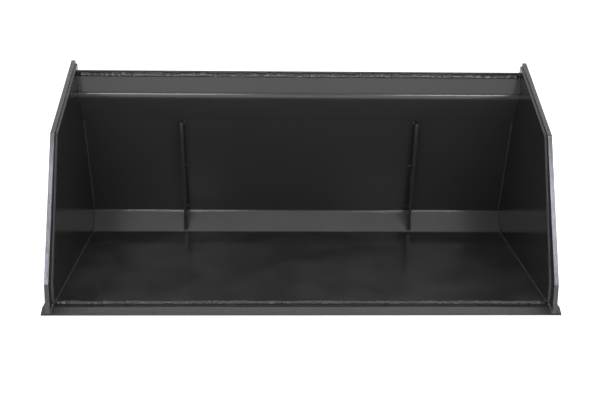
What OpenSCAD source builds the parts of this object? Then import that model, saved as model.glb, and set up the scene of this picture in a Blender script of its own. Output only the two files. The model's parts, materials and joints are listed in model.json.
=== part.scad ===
// Skid steer bucket, a welded steel dirt bucket.
// One bent sheet makes the floor, the heel and the back. Side sheets close its ends, a
// bevelled bar is the cutting edge, thick side cutters guard the side sheets' front edges,
// and a formed angle boxes the top of the back. Behind it is the frame that a universal
// quick-attach carrier hooks under and pins to. Nothing on it moves.
// +X runs across the bucket, +Y towards the machine and +Z up. The origin is on the
// ground, under the middle of the bounding box. Outlines are drawn as [y, z] with y
// measured back from the cutting edge's tip, and plate() puts them in this frame.

/* [Shell] */
// Overall width, over the ends of the cutting edge
bucket_w = 1828.8; // [1600:0.1:2000]
// From the tip of the cutting edge back to the foot of the heel
floor_reach = 803; // [700:1:900]
// Rise of the slanted heel above the floor
heel_rise = 76; // [60:1:100]
// Slope of the heel, in degrees
heel_slope = 48; // [38:1:52]
// Lean of the back towards the mouth, in degrees
back_lean = 16; // [12:0.5:20]
// Height of the back sheet's top edge
back_h = 739; // [700:1:790]
// Thickness of the shell and the side sheets
sheet_t = 6.35; // [5:0.05:8]
// Inner radius of the shell's two bends
bend_r = 14; // [6:1:20]

/* [Cutting edge] */
// Depth of the bar, front to back
edge_d = 152.4; // [120:0.1:200]
// Thickness of the bar
edge_t = 19.05; // [15:0.05:25]
// Length of the bevel on its top face
bevel_d = 32; // [25:1:45]
// Height of the blunt tip
tip_h = 3; // [2:0.5:5]
// How far the bar stands out past each side cutter
edge_overhang = 16.7; // [10:0.1:25]
// How far the shell's floor is set back from the tip
floor_setback = 66; // [60:1:90]

/* [Sides] */
// Thickness of the side cutters
cutter_t = 15.875; // [12:0.005:20]
// Width of the side cutters' strip
cutter_w = 102; // [90:1:120]
// Height where the cutter turns from upright to the long slant
cutter_knee_h = 112; // [100:1:130]
// Height where the cutter turns back to the short slant
cutter_shoulder_h = 591; // [560:1:620]
// Steepness of the long slant, in degrees
cutter_slant = 63; // [60:0.5:66]
// Steepness of the short slant, in degrees
cutter_crest = 23.5; // [20:0.5:28]
// How far the cutter's toe lies behind the tip
cutter_toe_y = 3; // [1:1:12]
// How far the cutter stands ahead of the side sheet near the floor
cutter_lead = 42; // [35:1:50]
// Steepness of the side sheet's long slant, in degrees
sheet_slant = 65.5; // [62:0.5:68]
// How far it stands above the side sheet along the short slant
cutter_rise = 14; // [10:1:20]

/* [Top box and ribs] */
// Height of the top box's fold
fold_h = 643; // [630:1:670]
// Level distance from the fold back to the back sheet
fold_depth = 57; // [50:1:62]
// Lean of the box's front flange away from the mouth, in degrees
flange_lean = 20; // [18:0.5:24]
// Height where the lower flange meets the back sheet
box_foot_h = 527; // [510:1:550]
// Inner radius of the fold
fold_r = 30; // [6:1:36]
// Distance of each inner rib's middle plane from the centre
rib_x = 477; // [440:1:520]
// Thickness of the inner ribs
rib_t = 12.7; // [9:0.1:16]
// How far a rib's top stands out from the back sheet
rib_top_depth = 45; // [30:1:55]
// How far a rib's foot stands out from the back sheet
rib_foot_depth = 77; // [70:1:90]

/* [Quick attach frame] */
// Width between the end plates, which the carrier fits in
carrier_w = 1143; // [1135:1:1150]
// How far the carrier's seat lies behind the tip
seat_y = 918; // [905:1:940]
// Height of the pin ledge's top
ledge_h = 132; // [120:1:145]
// From the ledge up to the point of the hook's pocket
seat_h = 415; // [400:1:430]
// Thickness of the seat bars, the hook lip and the pin ledge
bar_t = 12.7; // [10:0.1:16]
// Height of the two seat bars
seat_bar_h = 101.6; // [80:0.1:120]
// Width of the hook lip and of the pin ledge
lip_w = 76.2; // [70:0.1:90]
// Distance between the two pin slots' centres
slot_pitch = 823; // [810:1:830]
// Length of a pin slot, across the bucket
slot_l = 42; // [36:1:50]
// Width of a pin slot, front to back
slot_w = 27; // [24:1:30]
// How far the slots' centres lie behind the seat
slot_back = 30; // [26:1:36]
// Thickness of the end plates and gussets
gusset_t = 9.525; // [8:0.005:12.7]

/* [Wear bars] */
// Width of the wear strips and of the heel bar
strip_w = 76.2; // [60:0.1:100]
// Thickness of the wear strips
strip_t = 12.7; // [9:0.1:15]
// Distance between the wear strips' centres
strip_pitch = 370; // [340:1:400]

/* [Hidden] */
$fn = 64;

STEEL = "#4a4b50";
DARK_STEEL = "#2f3034";
WORN_STEEL = "#6a6a6c";

// Flat steps around each bend of a sheet
bend_steps = 12;

// ---- Widths across the bucket ----
cutter_out_x = bucket_w / 2 - edge_overhang;
cutter_in_x = cutter_out_x - cutter_t;
inner_x = cutter_in_x - sheet_t;

// ---- Functions on [y, z] points ----
function heading(angle) = [cos(angle), sin(angle)];
function left_of(d) = [-d.y, d.x];
function unit(v) = v / norm(v);
function cross2(a, b) = a.x * b.y - a.y * b.x;
// Where the line through p along d meets the line through q along e
function meet(p, d, q, e) = p + d * cross2(q - p, e) / cross2(d, e);
// The point at height z on the line through p along d
function at_height(p, d, z) = p + d * (z - p.y) / d.y;
function leg_dir(path, i) = unit(path[i + 1] - path[i]);
// A path moved sideways to its left by a distance, with mitred corners
function moved_left(path, distance) = let (last = len(path) - 1) [
    for (i = [0:last])
        let (before = leg_dir(path, max(i - 1, 0)), after = leg_dir(path, min(i, last - 1)))
            let (p = path[i] + left_of(before) * distance, q = path[i] + left_of(after) * distance)
                i == 0 || i == last ? p : meet(p, before, q, after)
];

// A path that turns left, with an arc of the given radius at each inner corner
function rounded_path(path, radius) = let (last = len(path) - 1) [
    path[0],
    for (i = [1:last - 1])
        let (before = leg_dir(path, i - 1), turn = acos(before * leg_dir(path, i)))
            let (centre = path[i] - before * radius * tan(turn / 2) + left_of(before) * radius)
                for (step = [0:bend_steps])
                    centre - radius * heading(atan2(before.y, before.x) + 90 + turn * step / bend_steps),
    path[last]
];
function reversed(list) = [for (i = [len(list) - 1:-1:0]) list[i]];

// ---- The shell's inner outline ----
floor_z = edge_t + sheet_t;
floor_front = [floor_setback, floor_z];
heel_foot = [floor_reach, floor_z];
heel_dir = heading(heel_slope);
heel_top = at_height(heel_foot, heel_dir, floor_z + heel_rise);
back_dir = heading(90 + back_lean);
back_front = left_of(back_dir);
back_top = at_height(heel_top, back_dir, back_h);
shell_path = [floor_front, heel_foot, heel_top, back_top];
shell_outside = moved_left(shell_path, -sheet_t);

// The sides' rear outline stands one sheet proud of the shell, for the weld
sides_rear = moved_left([heel_foot, heel_top, back_top], -2 * sheet_t);

// ---- The side cutter's front outline ----
cutter_front_y = 12;
knee = [cutter_front_y, cutter_knee_h];
shoulder = at_height(knee, heading(cutter_slant), cutter_shoulder_h);
crest_end = meet(shoulder, heading(cutter_crest), sides_rear[1], back_dir);
bevel_start = [0, tip_h];
bevel_end = [bevel_d, edge_t];
cutter_toe = bevel_start + (bevel_end - bevel_start) * cutter_toe_y / bevel_d;

// ---- The side sheet's front outline ----
sheet_front_y = cutter_front_y + cutter_lead;
sheet_crest = shoulder + left_of(heading(cutter_crest)) * -cutter_rise;
sheet_crest_end = meet(sheet_crest, heading(cutter_crest), sides_rear[1], back_dir);
sheet_knee = [sheet_front_y, cutter_knee_h - 15];
sheet_shoulder = meet(sheet_knee, heading(sheet_slant), sheet_crest, heading(cutter_crest));

// ---- The top box ----
fold = at_height(heel_top, back_dir, fold_h) - [fold_depth, 0];
box_foot = at_height(heel_top, back_dir, box_foot_h);
flange_dir = heading(90 - flange_lean);
// The front flange is cut square, where its rear corner touches the back sheet
flange_turn = back_lean + flange_lean;
flange_l = (fold_depth * cos(back_lean) - sheet_t * cos(flange_turn)) / sin(flange_turn);

// ---- The quick attach frame ----
// How far the hook lip laps over the upper seat bar, along its slope
lip_lap = 24;
// How far the end plates stand behind the seat, at the hook and under the ledge
ear_d = 40;
// How far up the back the end plates and the gussets run above the hook's pocket
end_plate_tail = 110;
gusset_tail = 70;
pocket = [seat_y, ledge_h + seat_h];
lip_dir = heading(-45);
lip_front = pocket - lip_dir * lip_lap;
lip_rear = lip_front + lip_dir * lip_w;
ledge_bottom = ledge_h - bar_t;
slot_y = seat_y + slot_back;
heel_outside = shell_outside[2];
function on_back(z) = at_height(heel_outside, back_dir, z);
function on_heel(z) = at_height(heel_outside, heel_dir, z);

total_d = seat_y - bar_t + lip_w;

// ---- The wear bars ----
// Room left for a weld at each end of a wear strip, and behind the heel bar
weld_gap = 12;
heel_bar_y = floor_reach - strip_w - weld_gap;

// ---- Shared shapes ----

// A flat plate: an outline in [y, z], extruded along X over a thickness from x
module plate(x, thickness) {
    translate([x, -total_d / 2, 0])
        rotate([90, 0, 90])
            linear_extrude(thickness)
                children();
}

// The same plate centred on x
module plate_at(x, thickness) {
    plate(x - thickness / 2, thickness)
        children();
}

// The same, once for each hand: side is -1 for left or 1 for right, and x counts outwards
module side_plate(side, x, thickness) {
    plate_at(side * (x + thickness / 2), thickness)
        children();
}

// A flat bar's section: from p along the direction d, thickness to its left
module bar_section(p, d, width, thickness) {
    polygon([p, p + d * width, p + d * width + left_of(d) * thickness, p + left_of(d) * thickness]);
}

// A sheet bent to the left at each inner corner of a path, on the path's right
module bent_section(path, radius, thickness) {
    far_face = moved_left(path, -thickness);
    polygon(concat(rounded_path(path, radius), reversed(rounded_path(far_face, radius + thickness))));
}

// ---- The bucket's shell ----

module cutting_edge() color(WORN_STEEL)
    plate_at(0, bucket_w)
        polygon([[0, 0], [edge_d, 0], [edge_d, edge_t], bevel_end, bevel_start]);

module shell_sheet() color(DARK_STEEL)
    plate_at(0, 2 * inner_x)
        bent_section(shell_path, bend_r, sheet_t);

module side_sheet(side) color(DARK_STEEL) {
    heel_corner = at_height(sides_rear[0], heel_dir, edge_t);
    side_plate(side, inner_x, sheet_t)
        polygon([
            [sheet_front_y, edge_t], heel_corner, sides_rear[1],
            sheet_crest_end, sheet_shoulder, sheet_knee
        ]);
}

module side_cutter(side) color(WORN_STEEL) {
    front = [cutter_toe, knee, shoulder, crest_end];
    rear = moved_left(front, -cutter_w);
    rear_end = meet(rear[2], heading(cutter_crest), crest_end, back_dir);
    side_plate(side, cutter_in_x, cutter_t)
        polygon(concat(
            front, [rear_end, rear[2], rear[1]],
            [[cutter_front_y + cutter_w, edge_t], bevel_end]
        ));
}

// ---- Inside the mouth ----

// The formed angle that boxes the top of the back; its lower flange is cut to lie on the sheet
module top_box_angle() color(STEEL) {
    spare = 30;
    foot_dir = unit(box_foot - fold);
    outer = [fold + flange_dir * flange_l, fold, box_foot + foot_dir * spare];
    plate_at(0, 2 * inner_x)
        difference() {
            bent_section(moved_left(outer, sheet_t), fold_r, sheet_t);
            bar_section(heel_top - back_front * spare, back_dir, back_h, spare);
        }
}

// An upright rib on the back sheet, with a level top under the box's foot and its lower
// corner clipped clear of the heel's bend
module inner_rib(side) color(DARK_STEEL) {
    clip = 18;
    head = box_foot - back_dir;
    foot = meet(heel_top + back_front * rib_foot_depth, back_dir, heel_foot, heel_dir);
    plate_at(side * rib_x, rib_t)
        polygon([
            head, head - [rib_top_depth, 0], foot,
            heel_top - heel_dir * clip, heel_top + back_dir * clip
        ]);
}

// ---- The quick attach frame ----

// The bar that the carrier's top bears on; its top is cut to the hook lip's slant
module upper_seat_bar() color(STEEL)
    plate_at(0, carrier_w)
        polygon([
            pocket - [0, seat_bar_h], pocket, pocket + [-bar_t, bar_t], pocket - [bar_t, seat_bar_h]
        ]);

module lower_seat_bar() color(STEEL)
    plate_at(0, carrier_w)
        translate([seat_y - bar_t, ledge_h])
            square([bar_t, seat_bar_h]);

// The sloping lip that the carrier's top edge hooks under
module hook_lip() color(STEEL)
    plate_at(0, carrier_w)
        bar_section(lip_front, lip_dir, lip_w, bar_t);

// The ledge under the carrier, with a slot for each of its two locking pins
module pin_ledge() color(STEEL)
    difference() {
        plate_at(0, carrier_w)
            translate([seat_y - bar_t, ledge_bottom])
                square([lip_w, bar_t]);
        for (side = [-1, 1])
            translate([side * slot_pitch / 2, slot_y - total_d / 2, ledge_h - 2 * bar_t])
                linear_extrude(3 * bar_t)
                    slot_outline();
    }

module slot_outline() {
    straight = slot_l - slot_w;
    square([straight, slot_w], center = true);
    for (end = [-1, 1])
        translate([end * straight / 2, 0])
            circle(d = slot_w);
}

// A plate at each end of the frame, with ears that close the ends of the hook and ledge
module frame_end_plate(side) color(STEEL) {
    toe_h = 62;
    lip_top = left_of(lip_dir) * bar_t;
    side_plate(side, carrier_w / 2, gusset_t)
        polygon([
            on_heel(toe_h), [seat_y + ear_d, ledge_bottom - ear_d / 2],
            [total_d, ledge_bottom], [total_d, ledge_h + bar_t],
            [seat_y, ledge_h + lip_w], pocket - [0, 2 * ear_d], lip_rear - [0, ear_d / 4],
            lip_rear + lip_top, lip_front + lip_top, on_back(pocket.y + end_plate_tail), heel_outside
        ]);
}

// An upright gusset between the back sheet and the two seat bars
module frame_gusset(x) color(STEEL) {
    bar_front = seat_y - bar_t;
    plate_at(x, gusset_t)
        polygon([
            on_back(ledge_bottom), [bar_front, ledge_bottom],
            [bar_front, pocket.y + bar_t], on_back(pocket.y + gusset_tail)
        ]);
}

// A small brace between the heel and the ledge's underside, outboard of each pin slot
module ledge_brace(side) color(STEEL) {
    toe_h = 70;
    nose_h = 8;
    plate_at(side * (slot_pitch / 2 + slot_l), gusset_t)
        polygon([
            on_heel(toe_h), [slot_y, ledge_bottom - nose_h], [slot_y, ledge_bottom],
            on_back(ledge_bottom), heel_outside
        ]);
}

// ---- Wear bars under the floor ----

module heel_wear_bar() color(WORN_STEEL)
    plate_at(0, 2 * inner_x)
        translate([heel_bar_y, 0])
            square([strip_w, edge_t]);

module wear_strip(x) color(WORN_STEEL)
    plate_at(x, strip_w)
        translate([edge_d + weld_gap, edge_t - strip_t])
            square([heel_bar_y - edge_d - 2 * weld_gap, strip_t]);

function gusset_x(i) = (i - 2.5) * rib_x * 2 / 3;
function strip_x(i) = (i - 3) * strip_pitch;

cutting_edge();
shell_sheet();
side_sheet(-1);  // side_sheet_left
side_sheet(1);  // side_sheet_right
side_cutter(-1);  // side_cutter_left
side_cutter(1);  // side_cutter_right
top_box_angle();
inner_rib(-1);  // inner_rib_left
inner_rib(1);  // inner_rib_right
upper_seat_bar();
lower_seat_bar();
hook_lip();
pin_ledge();
frame_end_plate(-1);  // frame_end_plate_left
frame_end_plate(1);  // frame_end_plate_right
frame_gusset(gusset_x(1));  // frame_gusset_1
frame_gusset(gusset_x(2));  // frame_gusset_2
frame_gusset(gusset_x(3));  // frame_gusset_3
frame_gusset(gusset_x(4));  // frame_gusset_4
ledge_brace(-1);  // ledge_brace_left
ledge_brace(1);  // ledge_brace_right
heel_wear_bar();
wear_strip(strip_x(1));  // wear_strip_1
wear_strip(strip_x(2));  // wear_strip_2
wear_strip(strip_x(3));  // wear_strip_3
wear_strip(strip_x(4));  // wear_strip_4
wear_strip(strip_x(5));  // wear_strip_5
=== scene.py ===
# The looks of the skid steer bucket: powder coated plates, weld beads, and a pale studio.
# Everything is in metres in the CAD frame: +X across the bucket, +Y towards the machine, +Z up.
import json
import math

import bpy
import numpy as np
from mathutils import Matrix, Vector


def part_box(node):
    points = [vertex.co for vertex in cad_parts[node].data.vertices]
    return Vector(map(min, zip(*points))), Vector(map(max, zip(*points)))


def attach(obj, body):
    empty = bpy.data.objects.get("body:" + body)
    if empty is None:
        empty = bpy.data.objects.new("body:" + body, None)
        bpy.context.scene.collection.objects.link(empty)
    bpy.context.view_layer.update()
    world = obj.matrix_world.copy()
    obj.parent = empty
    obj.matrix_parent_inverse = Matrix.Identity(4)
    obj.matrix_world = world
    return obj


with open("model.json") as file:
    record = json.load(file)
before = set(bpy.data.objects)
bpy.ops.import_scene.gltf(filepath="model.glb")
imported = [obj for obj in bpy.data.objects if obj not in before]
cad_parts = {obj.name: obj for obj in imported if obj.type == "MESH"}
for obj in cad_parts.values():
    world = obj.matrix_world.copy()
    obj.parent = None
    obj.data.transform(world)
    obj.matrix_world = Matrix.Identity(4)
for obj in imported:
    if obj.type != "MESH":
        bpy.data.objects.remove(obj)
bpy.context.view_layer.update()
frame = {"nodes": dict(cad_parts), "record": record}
nodes = frame["nodes"]
slot_of = {part["node"]: part["material_slot"] for part in frame["record"]["subparts"]}

SIDES = (("left", -1), ("right", 1))


# ---- Node materials ----

class Paint:
    """A material whose nodes are added and linked one call at a time."""

    def __init__(self, name):
        self.material = bpy.data.materials.new(name)
        self.material.use_nodes = True
        self.tree = self.material.node_tree
        self.shader = self.tree.nodes["Principled BSDF"]
        self.place = self.add("ShaderNodeTexCoord").outputs["Object"]
        self.normal = self.add("ShaderNodeNewGeometry").outputs["Normal"]

    def add(self, kind, **settings):
        node = self.tree.nodes.new(kind)
        for key, value in settings.items():
            setattr(node, key, value)
        return node

    def link(self, source, socket):
        """Gives a node's socket a value, a colour or another node's output."""
        if isinstance(source, bpy.types.NodeSocket):
            self.tree.links.new(source, socket)
        else:
            socket.default_value = source

    def stretched(self, x, y, z):
        """The place on the part, scaled along each axis, so that a texture stretches."""
        node = self.add("ShaderNodeVectorMath", operation="MULTIPLY")
        self.link(self.place, node.inputs[0])
        node.inputs[1].default_value = (x, y, z)
        return node.outputs[0]

    def noise(self, scale, detail=3.0, vector=None):
        node = self.add("ShaderNodeTexNoise")
        self.link(self.place if vector is None else vector, node.inputs["Vector"])
        node.inputs["Scale"].default_value = scale
        node.inputs["Detail"].default_value = detail
        return node.outputs["Fac"]

    def remap(self, value, low, high, to_low=0.0, to_high=1.0):
        node = self.add("ShaderNodeMapRange", interpolation_type="SMOOTHSTEP")
        for source, socket in zip((value, low, high, to_low, to_high), node.inputs):
            self.link(source, socket)
        return node.outputs[0]

    def math(self, operation, a, b):
        node = self.add("ShaderNodeMath", operation=operation)
        self.link(a, node.inputs[0])
        self.link(b, node.inputs[1])
        return node.outputs[0]

    def mix(self, share, a, b):
        node = self.add("ShaderNodeMix", data_type="RGBA")
        self.link(share, node.inputs[0])
        self.link(a, node.inputs[6])
        self.link(b, node.inputs[7])
        return node.outputs[2]

    def facing(self, axis):
        """How squarely the surface faces along an axis, from -1 to 1."""
        node = self.add("ShaderNodeSeparateXYZ")
        self.link(self.normal, node.inputs[0])
        return node.outputs[axis]

    def sharp_edges(self, radius):
        """1 on the plates' edges, falling to 0 a radius away from them."""
        rounded = self.add("ShaderNodeBevel", samples=4)
        rounded.inputs["Radius"].default_value = radius
        turn = self.add("ShaderNodeVectorMath", operation="DOT_PRODUCT")
        self.link(rounded.outputs[0], turn.inputs[0])
        self.link(self.normal, turn.inputs[1])
        return self.remap(turn.outputs["Value"], 0.995, 0.9)

    def bumps(self, *layers):
        """Raises the surface by each (height, distance) in turn."""
        below = None
        for height, distance in layers:
            node = self.add("ShaderNodeBump")
            node.inputs["Distance"].default_value = distance
            self.link(height, node.inputs["Height"])
            if below is not None:
                self.link(below, node.inputs["Normal"])
            below = node.outputs[0]
        self.link(below, self.shader.inputs["Normal"])

    def finish(self, colour, roughness):
        self.link(colour, self.shader.inputs["Base Color"])
        self.link(roughness, self.shader.inputs["Roughness"])
        return self.material


def grey(level, blue=1.0):
    """A linear grey, with more blue in it where blue is above 1."""
    return (level, level * (1 + 0.15 * (blue - 1)), level * blue, 1.0)


def coated(name, level, roughness, edge_level, dust_level):
    """Black powder coat on rolled plate: orange peel, faint waves, dust and thin edges."""
    paint = Paint(name)
    clouds = paint.noise(2.5, 3)
    rolling = paint.noise(1, 2, paint.stretched(2, 25, 25))
    up = paint.remap(paint.facing("Z"), 0.3, 0.95)
    dusty = paint.math("MULTIPLY", up, paint.remap(paint.noise(6, 5), 0.3, 0.8))
    colour = paint.mix(clouds, grey(level * 0.85), grey(level * 1.15, 1.06))
    colour = paint.mix(dusty, colour, grey(dust_level))
    specks = paint.remap(paint.noise(700, 1), 0.76, 0.8)
    colour = paint.mix(paint.math("MULTIPLY", specks, 0.6), colour, grey(edge_level))
    worn = paint.math("MULTIPLY", paint.sharp_edges(0.0022), paint.remap(paint.noise(60, 4), 0.4, 0.7))
    colour = paint.mix(worn, colour, grey(edge_level))
    gloss = paint.remap(rolling, 0.3, 0.7, roughness * 0.93, roughness * 1.07)
    gloss = paint.math("ADD", gloss, paint.math("MULTIPLY", dusty, 0.04))
    paint.bumps((paint.noise(3, 1), 0.0012), (paint.noise(420, 2), 0.000012))
    return paint.finish(colour, gloss)


def cut_plate(name, level, roughness):
    """Thick painted plate: faint mill scale on its faces, torch-cut streaks across its edges."""
    paint = Paint(name)
    patches = paint.noise(12, 5)
    streaks = paint.noise(1, 3, paint.stretched(6, 330, 330))
    pits = paint.remap(paint.noise(230, 2), 0.3, 0.38, 1, 0)
    on_edge = paint.remap(paint.math("ABSOLUTE", paint.facing("X"), 0), 0.6, 0.4)
    colour = paint.mix(patches, grey(level * 0.9), grey(level * 1.1, 1.04))
    pitted = paint.math("MULTIPLY", paint.math("MULTIPLY", pits, on_edge), 0.8)
    colour = paint.mix(pitted, colour, grey(level * 0.2))
    worn = paint.math("MULTIPLY", paint.sharp_edges(0.0025), paint.remap(paint.noise(50, 4), 0.4, 0.65))
    colour = paint.mix(worn, colour, grey(level * 2.6))
    gloss = paint.remap(paint.noise(30, 4), 0.3, 0.7, roughness * 0.9, roughness * 1.1)
    gloss = paint.math("ADD", gloss, paint.math("MULTIPLY", pitted, 0.4))
    cut = paint.math("MULTIPLY", streaks, on_edge)
    paint.bumps((paint.noise(3, 1), 0.001), (cut, 0.00045), (paint.noise(300, 3), 0.00004))
    return paint.finish(colour, gloss)


def coated_weld(name, low, high):
    """Weld metal under the same coat, glossier because the coat runs smooth on it."""
    paint = Paint(name)
    colour = paint.mix(paint.noise(150, 3), grey(low), grey(high))
    gloss = paint.remap(paint.noise(90, 3), 0.3, 0.7, 0.1, 0.2)
    paint.bumps((paint.noise(260, 3), 0.0006))
    return paint.finish(colour, gloss)


paints = {
    "shell_paint": coated("shell_coat", level=0.0157, roughness=0.17, edge_level=0.05, dust_level=0.031),
    "edge_paint": cut_plate("edge_coat", level=0.0155, roughness=0.24),
    "frame_paint": coated("frame_coat", level=0.021, roughness=0.22, edge_level=0.055, dust_level=0.026),
    "wear_paint": cut_plate("wear_coat", level=0.024, roughness=0.32),
}
# Painted light: the top box gets a lighter copy of the shell's black coat, which paints brightness onto
# its front flange.
lit_box_coat = coated("lit_box_coat", level=0.024, roughness=0.19, edge_level=0.05, dust_level=0.03)
weld_coat = coated_weld("weld_coat", low=0.01, high=0.024)
# Painted highlight: a lighter weld colour, so that the side seams, the side sheets' front edges and the
# rib tacks show as bright lines and dots.
painted_highlight_weld_coat = coated_weld("painted_highlight_weld_coat", low=0.02, high=0.055)


# ---- The CAD plates ----

EDGE_RADIUS = 0.0012
CREASE_ANGLE = math.radians(16)
MERGE_DISTANCE = 1e-5


def smooth_faces():
    """A modifier's node group that drops the stored normals and shades every face smooth."""
    group = bpy.data.node_groups.new("smooth_faces", "GeometryNodeTree")
    group.interface.new_socket("Geometry", in_out="INPUT", socket_type="NodeSocketGeometry")
    group.interface.new_socket("Geometry", in_out="OUTPUT", socket_type="NodeSocketGeometry")
    start = group.nodes.new("NodeGroupInput")
    drop = group.nodes.new("GeometryNodeRemoveAttribute")
    drop.inputs["Name"].default_value = "custom_normal"
    shade = group.nodes.new("GeometryNodeSetShadeSmooth")
    end = group.nodes.new("NodeGroupOutput")
    group.links.new(start.outputs[0], drop.inputs[0])
    group.links.new(drop.outputs[0], shade.inputs[0])
    group.links.new(shade.outputs[0], end.inputs[0])
    return group


def soften_edges(node, group):
    """Rounds a plate's sharp edges and keeps its flat faces flat."""
    node.modifiers.new("smooth", "NODES").node_group = group
    node.modifiers.new("weld", "WELD").merge_threshold = MERGE_DISTANCE
    bevel = node.modifiers.new("bevel", "BEVEL")
    bevel.width = EDGE_RADIUS
    bevel.segments = 2
    bevel.limit_method = "ANGLE"
    bevel.angle_limit = CREASE_ANGLE
    node.modifiers.new("normals", "WEIGHTED_NORMAL").keep_sharp = False


smooth = smooth_faces()
for name, node in nodes.items():
    soften_edges(node, smooth)
    # The top box takes the lighter coat, which paints light onto it.
    coat = lit_box_coat if name == "top_box_angle" else paints[slot_of[name]]
    for index in range(len(node.data.materials)):
        node.data.materials[index] = coat


# ---- Outlines of the plates, as (y, z) points ----

def outline(name):
    """The edges of a plate's outline, anticlockwise, from its faces on the +X side."""
    mesh = nodes[name].data
    loose = set()
    for polygon in mesh.polygons:
        if polygon.normal.x < 0.9:
            continue
        corners = [mesh.vertices[index].co for index in polygon.vertices]
        corners = [(round(co.y, 5), round(co.z, 5)) for co in corners]
        for edge in zip(corners, corners[1:] + corners[:1]):
            if edge[::-1] in loose:
                loose.remove(edge[::-1])
            else:
                loose.add(edge)
    return [(Vector(p), Vector(q)) for p, q in sorted(loose)]


def outward(edge):
    along = (edge[1] - edge[0]).normalized()
    return Vector((along.y, -along.x))


def upward(edge):
    """The direction along an edge, on its way up."""
    along = (edge[1] - edge[0]).normalized()
    return along if along.y > 0 else -along


def edge_facing(name, y, z):
    """The outline edge that faces most nearly along (y, z), and the longest such edge."""
    direction = Vector((y, z)).normalized()

    def rank(edge):
        return round(outward(edge).dot(direction), 3), (edge[1] - edge[0]).length

    return max(outline(name), key=rank)


def at(x, point):
    return Vector((x, point.x, point.y))


def across_x(direction):
    """A (y, z) direction as a direction in the frame."""
    return Vector((0, direction[0], direction[1])).normalized()


# ---- Weld beads ----

# A bead's mesh, and how deep it sits in the corner
RING_STEP = 0.0018
ACROSS = 7
CROWN_SINK = 0.0002
ROOT_SINK = 0.0004

# Its crown and its tapered ends, as shares of its leg
CROWN_HEIGHT = 0.22
TAPER_LEGS = 1.3
TIP_SHARE = 0.1

# Its ripples, which bow forward and drift along the run
RIPPLE_PITCH = 0.0052
RIPPLE_HEIGHT = 0.0007
RIPPLE_BOW = 0.55
RIPPLE_DRIFT = 0.4
DRIFT_WAVELENGTH = 0.02

# How uneven it is: the (share, wavelength) of each random wave
SIZE_WAVES = (0.16, 0.035), (0.09, 0.009)
RIPPLE_WAVES = ((0.6, 0.012),)
CROWN_WAVES = (0.5, 0.03), (0.5, 0.008)
TOE_WAVES = ((0.08, 0.007),)

# Spatter, and the lumps that make a blob, as shares of the blob's radius
DROPLETS_PER_M = 14
DROPLET_RADII = 0.0005, 0.0014
DROPLET_LEGS_AWAY = 1.2, 1.55
BLOB_LUMPS = 4
LUMP_SPREAD = 0.6
LUMP_RADII = 0.45, 0.75

# The leg of each bead
FLOOR_FRONT_LEG = 0.0075
BOX_TOP_LEG = 0.0095
BOX_END_LEG = 0.003
FLOOR_SEAM_LEG = 0.0045
HEEL_SEAM_LEG = 0.005
BACK_SEAM_LEG = 0.0032
OUTER_SEAM_LEG = 0.0052
SHEET_FRONT_LEG = 0.0042
CUTTER_REAR_LEG = 0.007
CUTTER_FOOT_LEG = 0.0095
RIB_LEG = 0.005
RIB_FOOT_LEG = 0.006
UPRIGHT_LEG = 0.006
BRACE_LEG = 0.005
SEAT_END_LEG = 0.005
HOOK_LEG = 0.006
WEAR_STRIP_LEG = 0.005
UNDERSIDE_LEG = 0.006

# The two beads across the mouth are taller than their leg, and the top one starts under the box's cap
FLOOR_FRONT_RISE = 1.35
BOX_TOP_RISE = 1.9
BOX_TOP_LAP = 0.005

# The (length, gap) of the broken beads
CUTTER_STITCH = 0.07, 0.09
RIB_TACK = 0.012, 0.14

# The (distance from the side sheet, radius) of the blobs
BOX_END_BLOBS = (0.004, 0.005), (0.012, 0.0035)
HEEL_BLOB = 0.003, 0.004
RIB_BLOB_RADIUS = 0.005

random = np.random.default_rng(7)


def wander(s, wavelength):
    """A smooth random value from -1 to 1 along s, changing over about one wavelength."""
    knots = random.uniform(-1, 1, int(s[-1] / wavelength) + 3)
    low = np.floor(s / wavelength).astype(int)
    share = s / wavelength - low
    ease = share * share * (3 - 2 * share)
    return knots[low] * (1 - ease) + knots[low + 1] * ease


def uneven(s, waves):
    """A factor near 1 along s, with a random wave for each (share, wavelength)."""
    return sum((share * wander(s, wavelength) for share, wavelength in waves), start=1)


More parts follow.
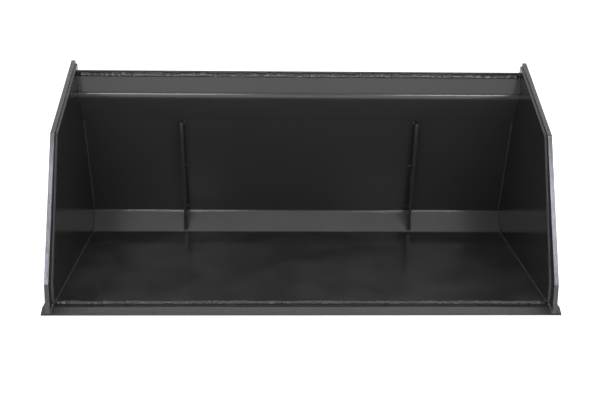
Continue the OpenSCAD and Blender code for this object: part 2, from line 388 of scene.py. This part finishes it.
def fillet(start, end, out_a, out_b, leg):
    """A rippled bead in a corner, which reaches out_a * leg and out_b * leg along the two plates."""
    length = (end - start).length
    rings = max(6, round(length / RING_STEP))
    s = np.linspace(0, length, rings + 1)
    size = leg * uneven(s, SIZE_WAVES)
    tip = np.clip(np.minimum(s, length - s) / (TAPER_LEGS * leg), 0, 1)
    rise = np.sqrt(1 - (1 - tip) ** 2) * (1 - TIP_SHARE) + TIP_SHARE
    t = np.linspace(0, 1, ACROSS)
    arch = 4 * t * (1 - t)
    drift = RIPPLE_DRIFT * wander(s, DRIFT_WAVELENGTH)[:, None]
    phase = (s[:, None] + RIPPLE_BOW * leg * arch) / RIPPLE_PITCH + drift
    ripple = RIPPLE_HEIGHT * uneven(s, RIPPLE_WAVES)[:, None] * (phase % 1.0)
    lumps = CROWN_HEIGHT * uneven(s, CROWN_WAVES)
    crown = (size * lumps)[:, None] * arch + ripple * np.sqrt(arch) - CROWN_SINK
    along, a, b = (np.array(v) for v in ((end - start).normalized(), out_a, out_b))
    middle = (a + b) / np.linalg.norm(a + b)
    reach_a = (size * rise * uneven(s, TOE_WAVES))[:, None] * (1 - t)
    reach_b = (size * rise * uneven(s, TOE_WAVES))[:, None] * t
    face = reach_a[..., None] * a + reach_b[..., None] * b
    face = face + (crown * rise[:, None])[..., None] * middle
    root = np.broadcast_to(-ROOT_SINK * middle, (rings + 1, 1, 3))
    line = np.array(start) + s[:, None] * along
    points = line[:, None, :] + np.concatenate([root, face], axis=1)
    around = ACROSS + 1
    faces = []
    for i in range(rings):
        for j in range(around):
            k = (j + 1) % around
            low, high = i * around, (i + 1) * around
            faces.append((low + j, low + k, high + k, high + j))
    faces.append(tuple(range(around - 1, -1, -1)))
    faces.append(tuple(rings * around + j for j in range(around)))
    if np.dot(np.cross(a, b), along) < 0:
        faces = [face[::-1] for face in faces]
    return points.reshape(-1, 3), faces


def droplet(centre, radius):
    """A ball of spatter, half sunk in the plate."""
    turns, levels = 8, 4
    points = [(0, 0, 1)]
    for level in range(1, levels):
        tilt = math.pi * level / levels
        width, height = math.sin(tilt), math.cos(tilt)
        for turn in range(turns):
            angle = 2 * math.pi * turn / turns
            points.append((width * math.cos(angle), width * math.sin(angle), height))
    points.append((0, 0, -1))
    last = len(points) - 1
    faces = []
    for turn in range(turns):
        after = (turn + 1) % turns
        faces.append((0, 1 + turn, 1 + after))
        for level in range(levels - 2):
            row = 1 + level * turns
            faces.append((row + turn, row + turns + turn, row + turns + after, row + after))
        row = 1 + (levels - 2) * turns
        faces.append((row + turn, last, row + after))
    return np.array(points) * radius + np.array(centre), faces


def spatter(start, end, out_a, out_b, leg):
    """A few droplets beside a bead, on the plates on either side of it."""
    drops = []
    for _ in range(random.poisson((end - start).length * DROPLETS_PER_M)):
        wall = out_a if random.random() < 0.5 else out_b
        away = leg * random.uniform(*DROPLET_LEGS_AWAY)
        place = start.lerp(end, random.random()) + wall * away
        drops.append(droplet(place, random.uniform(*DROPLET_RADII)))
    return drops


def blob(centre, radius):
    """A heap of weld metal where a bead starts or stops."""
    lumps = []
    for _ in range(BLOB_LUMPS):
        offset = Vector(random.uniform(-1, 1, 3)) * radius * LUMP_SPREAD
        lumps.append(droplet(centre + offset, radius * random.uniform(*LUMP_RADII)))
    return lumps


def weld(name, runs, blobs=(), coat=weld_coat):
    """One piece of weld metal: a bead for each run (start, end, out_a, out_b, leg), and the blobs."""
    shapes = [shape for run in runs for shape in [fillet(*run), *spatter(*run)]]
    shapes += [lump for spot in blobs for lump in blob(*spot)]
    points, faces = [], []
    for shape_points, shape_faces in shapes:
        faces += [tuple(index + len(points) for index in face) for face in shape_faces]
        points += shape_points.tolist()
    mesh = bpy.data.meshes.new(name)
    mesh.from_pydata(points, [], faces)
    mesh.shade_smooth()
    mesh.materials.append(coat)
    piece = bpy.data.objects.new(name, mesh)
    bpy.context.scene.collection.objects.link(piece)
    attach(piece, "root")


def stitches(run, length, gap):
    """A run broken into short beads with gaps between them."""
    start, end, out_a, out_b, leg = run
    whole = (end - start).length
    count = max(2, int((whole + gap) / (length + gap)))
    along = (end - start).normalized()
    firsts = [start + along * (whole - length) * i / (count - 1) for i in range(count)]
    return [(first, first + along * length, out_a, out_b, leg) for first in firsts]


def plate_runs(name, edge, leg):
    """A bead on both faces of an upright plate, along the outline edge where it meets another."""
    low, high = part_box(name)
    inward = across_x(-outward(edge))
    return [
        (at(x, edge[0]), at(x, edge[1]), Vector((side, 0, 0)), inward, leg)
        for x, side in ((low.x, -1), (high.x, 1))
    ]


def cross_run(x_low, x_high, point, out_a, out_b, leg):
    """A bead across the bucket, at a (y, z) point."""
    return at(x_low, point), at(x_high, point), Vector((0, *out_a)), Vector((0, *out_b)), leg


shell_low, shell_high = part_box("shell_sheet")
edge_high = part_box("cutting_edge")[1]
back = edge_facing("shell_sheet", -1, -0.3)
heel = edge_facing("shell_sheet", -0.7, 0.7)
floor = edge_facing("shell_sheet", 0, 1)
heel_rear = edge_facing("shell_sheet", 0.7, -0.7)
back_rear = edge_facing("shell_sheet", 1, 0.3)
flange = edge_facing("top_box_angle", -0.94, 0.34)
lower_flange = edge_facing("top_box_angle", -0.8, -0.6)


def weld_mouth():
    """The beads across the mouth: along the floor's front edge and over the top of the top box."""
    front = Vector((shell_low.y, edge_high.z))
    weld("weld_floor_front", [
        cross_run(shell_low.x, shell_high.x, front, (-1, 0), (0, FLOOR_FRONT_RISE), FLOOR_FRONT_LEG),
    ])
    cap = edge_facing("top_box_angle", 0.34, 0.94)
    rear = max(cap, key=lambda point: point.x)
    root = rear - outward(cap) * BOX_TOP_LAP
    rise = upward(back) * BOX_TOP_RISE
    weld("weld_box_top", [
        cross_run(shell_low.x, shell_high.x, root, outward(flange), rise, BOX_TOP_LEG),
    ])


def weld_box_ends(side_name, side):
    """Where the top box closes against a side sheet, with a blob at the fold."""
    x = side * shell_high.x
    inward = Vector((-side, 0, 0))
    runs = [
        (at(x, edge[0]), at(x, edge[1]), inward, across_x(outward(edge)), BOX_END_LEG)
        for edge in (flange, lower_flange)
    ]
    corner = min(flange, key=lambda point: point.y)
    spots = [(at(x - side * away, corner), radius) for away, radius in BOX_END_BLOBS]
    weld("weld_box_end_" + side_name, runs, spots)


def weld_side_seams(side_name, side):
    """The shell's long seams with a side sheet, thin inside and thicker outside."""
    x = side * shell_high.x
    inward = Vector((-side, 0, 0))
    seams = (
        (floor, FLOOR_SEAM_LEG), (heel, HEEL_SEAM_LEG), (back, BACK_SEAM_LEG),
        (heel_rear, OUTER_SEAM_LEG), (back_rear, OUTER_SEAM_LEG),
    )
    runs = [(at(x, e[0]), at(x, e[1]), inward, across_x(outward(e)), leg) for e, leg in seams]
    away, radius = HEEL_BLOB
    spots = [(at(x - side * away, point), radius) for point in heel]
    weld("weld_side_seam_" + side_name, runs, spots, painted_highlight_weld_coat)


def weld_cutter(side_name, side):
    """A side cutter's beads: along the side sheet's front edge, behind the cutter, and at its foot."""
    sheet = "side_sheet_" + side_name
    cutter = "side_cutter_" + side_name
    joint_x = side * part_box("side_cutter_right")[0].x
    outer_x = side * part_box("side_cutter_right")[1].x
    inward = Vector((-side, 0, 0))
    fronts = [edge_facing(sheet, *facing) for facing in ((-1, 0), (-0.9, 0.4), (-0.4, 0.9))]
    runs = [
        (at(joint_x, e[0]), at(joint_x, e[1]), inward, across_x(outward(e)), SHEET_FRONT_LEG)
        for e in fronts
    ]
    weld("weld_sheet_front_" + side_name, runs, coat=painted_highlight_weld_coat)
    rears = [edge_facing(cutter, *facing) for facing in ((1, 0), (0.9, -0.4), (0.4, -0.9))]
    runs = [
        (at(joint_x, e[0]), at(joint_x, e[1]), -inward, across_x(outward(e)), CUTTER_REAR_LEG)
        for e in rears
    ]
    weld("weld_cutter_rear_" + side_name, [
        stitch for run in runs for stitch in stitches(run, *CUTTER_STITCH)
    ])
    feet = [edge_facing(cutter, 0, -1), edge_facing(cutter, 0.45, -0.9)]
    runs = [
        (at(x, e[0]), at(x, e[1]), out, across_x(-outward(e)), CUTTER_FOOT_LEG)
        for e in feet for x, out in ((outer_x, -inward), (joint_x, inward))
    ]
    weld("weld_cutter_foot_" + side_name, runs)


def weld_rib(side_name):
    """Tacks up both faces of an inner rib, and a bead round its foot."""
    name = "inner_rib_" + side_name
    up = plate_runs(name, edge_facing(name, 0.95, 0.3), RIB_LEG)
    foot = plate_runs(name, edge_facing(name, 0.7, -0.7), RIB_FOOT_LEG)
    tacks = [tack for run in up for tack in stitches(run, *RIB_TACK)]
    spots = [(run[0] if run[0].y < run[1].y else run[1], RIB_BLOB_RADIUS) for run in foot]
    weld("weld_rib_" + side_name, tacks + foot, spots, painted_highlight_weld_coat)


def weld_uprights():
    """The gussets and end plates: to the back sheet and heel, and to the seat bars."""
    for i in range(1, 5):
        name = "frame_gusset_%d" % i
        runs = plate_runs(name, edge_facing(name, -0.95, -0.3), UPRIGHT_LEG)
        runs += plate_runs(name, edge_facing(name, 1, 0), UPRIGHT_LEG)
        weld("weld_" + name, runs)
    for side_name, side in SIDES:
        name = "frame_end_plate_" + side_name
        runs = plate_runs(name, edge_facing(name, -0.95, -0.3), UPRIGHT_LEG)
        runs += plate_runs(name, edge_facing(name, -0.7, 0.7), UPRIGHT_LEG)
        weld("weld_" + name, runs)
        brace = "ledge_brace_" + side_name
        runs = plate_runs(brace, edge_facing(brace, -0.7, 0.7), BRACE_LEG)
        runs += plate_runs(brace, edge_facing(brace, 0, 1), BRACE_LEG)
        weld("weld_" + brace, runs)


def weld_seat(side_name, side):
    """The ends of the seat bars, the hook lip and the pin ledge, to an end plate."""
    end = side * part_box("upper_seat_bar")[1].x
    inward = Vector((-side, 0, 0))
    runs = []
    for name in ("upper_seat_bar", "lower_seat_bar", "hook_lip", "pin_ledge"):
        edges = sorted(outline(name), key=lambda e: (e[0] - e[1]).length)[-2:]
        for e in edges:
            runs.append((at(end, e[0]), at(end, e[1]), inward, across_x(outward(e)), SEAT_END_LEG))
    weld("weld_seat_" + side_name, runs)


def weld_hook():
    """The hook lip's front edge, on the upper seat bar."""
    bar_low, bar_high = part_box("upper_seat_bar")
    point = Vector((bar_low.y, bar_high.z))
    rise = upward(edge_facing("hook_lip", -0.7, -0.7))
    run = cross_run(bar_low.x, bar_high.x, point, (0, -1), rise, HOOK_LEG)
    weld("weld_hook_lip", [run])


def weld_underside():
    """The wear strips, the heel bar and the cutting edge, to the floor's underside."""
    for i in range(1, 6):
        name = "wear_strip_%d" % i
        weld("weld_" + name, plate_runs(name, edge_facing(name, 0, 1), WEAR_STRIP_LEG))
    bar_low, bar_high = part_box("heel_wear_bar")
    joints = (edge_high, 1), (Vector((0, bar_low.y, bar_high.z)), -1), (bar_high, 1)
    weld("weld_floor_under", [
        cross_run(
            shell_low.x, shell_high.x, Vector((corner.y, corner.z)), (out, 0), (0, -1), UNDERSIDE_LEG
        )
        for corner, out in joints
    ])


weld_mouth()
for side_name, side in SIDES:
    weld_box_ends(side_name, side)
    weld_side_seams(side_name, side)
    weld_cutter(side_name, side)
    weld_rib(side_name)
    weld_seat(side_name, side)
weld_uprights()
weld_hook()
weld_underside()


# ---- Camera ----

def add_camera(position, pitch, yaw, roll, lens):
    """A camera that looks along +Y, turned yaw degrees towards +X and pitch degrees down."""
    p, w, r = (math.radians(angle) for angle in (pitch, yaw, roll))
    level = Vector((math.cos(w), -math.sin(w), 0))
    ahead = Vector((math.sin(w) * math.cos(p), math.cos(w) * math.cos(p), -math.sin(p)))
    above = level.cross(ahead)
    right = level * math.cos(r) + above * math.sin(r)
    up = above * math.cos(r) - level * math.sin(r)
    camera = bpy.data.objects.new("camera", bpy.data.cameras.new("camera"))
    camera.data.lens = lens
    camera.data.sensor_width = 36
    turn = Matrix((right, up, -ahead)).transposed().to_4x4()
    camera.matrix_world = Matrix.Translation(position) @ turn
    bpy.context.scene.collection.objects.link(camera)
    bpy.context.scene.camera = camera


add_camera(Vector((-0.104, -3.575, 1.4025)), pitch=17.569, yaw=1.651, roll=0.649, lens=57.59)


# ---- Studio ----

WORLD_LEVEL = 0.78
FLOOR_SIZE = 60
FLOOR_DROP = 0.0005
FLOOR_GLOW = 0.6


def add_world():
    world = bpy.data.worlds.new("studio")
    world.use_nodes = True
    background = world.node_tree.nodes["Background"]
    background.inputs["Color"].default_value = (1, 1, 1, 1)
    background.inputs["Strength"].default_value = WORLD_LEVEL
    bpy.context.scene.world = world
    bpy.context.scene.view_settings.view_transform = "Standard"


def add_floor(size):
    """A white table that glows a little, as a lit product table does."""
    half = size / 2
    below = -FLOOR_DROP
    mesh = bpy.data.meshes.new("studio_floor")
    corners = [(-half, -half, below), (half, -half, below), (half, half, below), (-half, half, below)]
    mesh.from_pydata(corners, [], [(0, 1, 2, 3)])
    paint = Paint("studio_floor")
    paint.shader.inputs["Base Color"].default_value = (0.9, 0.9, 0.9, 1)
    paint.shader.inputs["Roughness"].default_value = 0.9
    paint.shader.inputs["Emission Color"].default_value = (1, 1, 1, 1)
    paint.shader.inputs["Emission Strength"].default_value = FLOOR_GLOW
    mesh.materials.append(paint.material)
    table = bpy.data.objects.new("studio_floor", mesh)
    bpy.context.scene.collection.objects.link(table)


def softbox(name, place, target, width, height, radiance, colour, lights=()):
    """A rectangular light, as bright as its radiance. It lights everything, or only the named nodes."""
    lamp = bpy.data.lights.new(name, "AREA")
    lamp.shape = "RECTANGLE"
    lamp.size = width
    lamp.size_y = height
    lamp.energy = radiance * math.pi * width * height
    lamp.color = colour
    light = bpy.data.objects.new(name, lamp)
    light.location = place
    light.rotation_mode = "QUATERNION"
    light.rotation_quaternion = (Vector(place) - Vector(target)).to_track_quat("Z", "Y")
    light.visible_camera = False
    bpy.context.scene.collection.objects.link(light)
    if lights:
        receivers = bpy.data.collections.new(name + "_receivers")
        for node_name in lights:
            receivers.objects.link(nodes[node_name])
        light.light_linking.receiver_collection = receivers


LAVENDER = (0.86, 0.85, 1.0)
WHITE = (1.0, 1.0, 1.0)
MIDDLE = Vector((0, 0, 0.4))

# The lights for the side cutters stand this far out, in front of the mouth
CUTTER_LIGHT_X = 1.26
CUTTER_KICK_X = 1.24
CUTTER_LIGHT_Y = -1.5
CUTTER_LIGHT_WIDTH = 0.3

# For each side: the strip's height above the ground, its length and its level, and the kick's level
CUTTER_LIGHTS = {"left": (1.34, 0.24, 27, 40), "right": (1.2, 0.5, 21, 12)}


def light_mouth():
    """The broad lights above the bucket, from in front of the mouth to behind it."""
    softbox("high_front", (0.15, -3.4, 2.75), MIDDLE, 4.4, 0.9, 0.81, WHITE)
    softbox("overhead_front", (0.05, -1.6, 3.1), MIDDLE, 2.7, 1.4, 0.76, WHITE)
    softbox("overhead_rear", (0.1, 0.9, 3.2), MIDDLE, 4.0, 2.0, 1.27, WHITE)


def light_side(side_name, side):
    """One side's lights. The strip, the fill and the kick light its side cutter and nothing else."""
    cutter = Vector((side * 0.89, -0.33, 0.4))
    strip_z, strip_h, strip_level, kick_level = CUTTER_LIGHTS[side_name]
    for name, x, z, height, level in (
        ("strip_", CUTTER_LIGHT_X, strip_z, strip_h, strip_level),
        ("fill_", CUTTER_LIGHT_X, 1.0, 0.95, 0.8),
        ("kick_", CUTTER_KICK_X, 0.76, 0.14, kick_level),
    ):
        place = (side * x, CUTTER_LIGHT_Y, z)
        only = ("side_cutter_" + side_name,)
        softbox(name + side_name, place, cutter, CUTTER_LIGHT_WIDTH, height, level, LAVENDER, only)
    softbox("low_" + side_name, (side * 1.15 + 0.2, -3.3, 0.65), MIDDLE, 1.1, 0.26, 26, WHITE)
    softbox("lamp_" + side_name, (side * 0.8, -2.3, 3.0), MIDDLE, 0.35, 0.35, 18, WHITE)


add_world()
add_floor(FLOOR_SIZE)
light_mouth()
for side_name, side in SIDES:
    light_side(side_name, side)
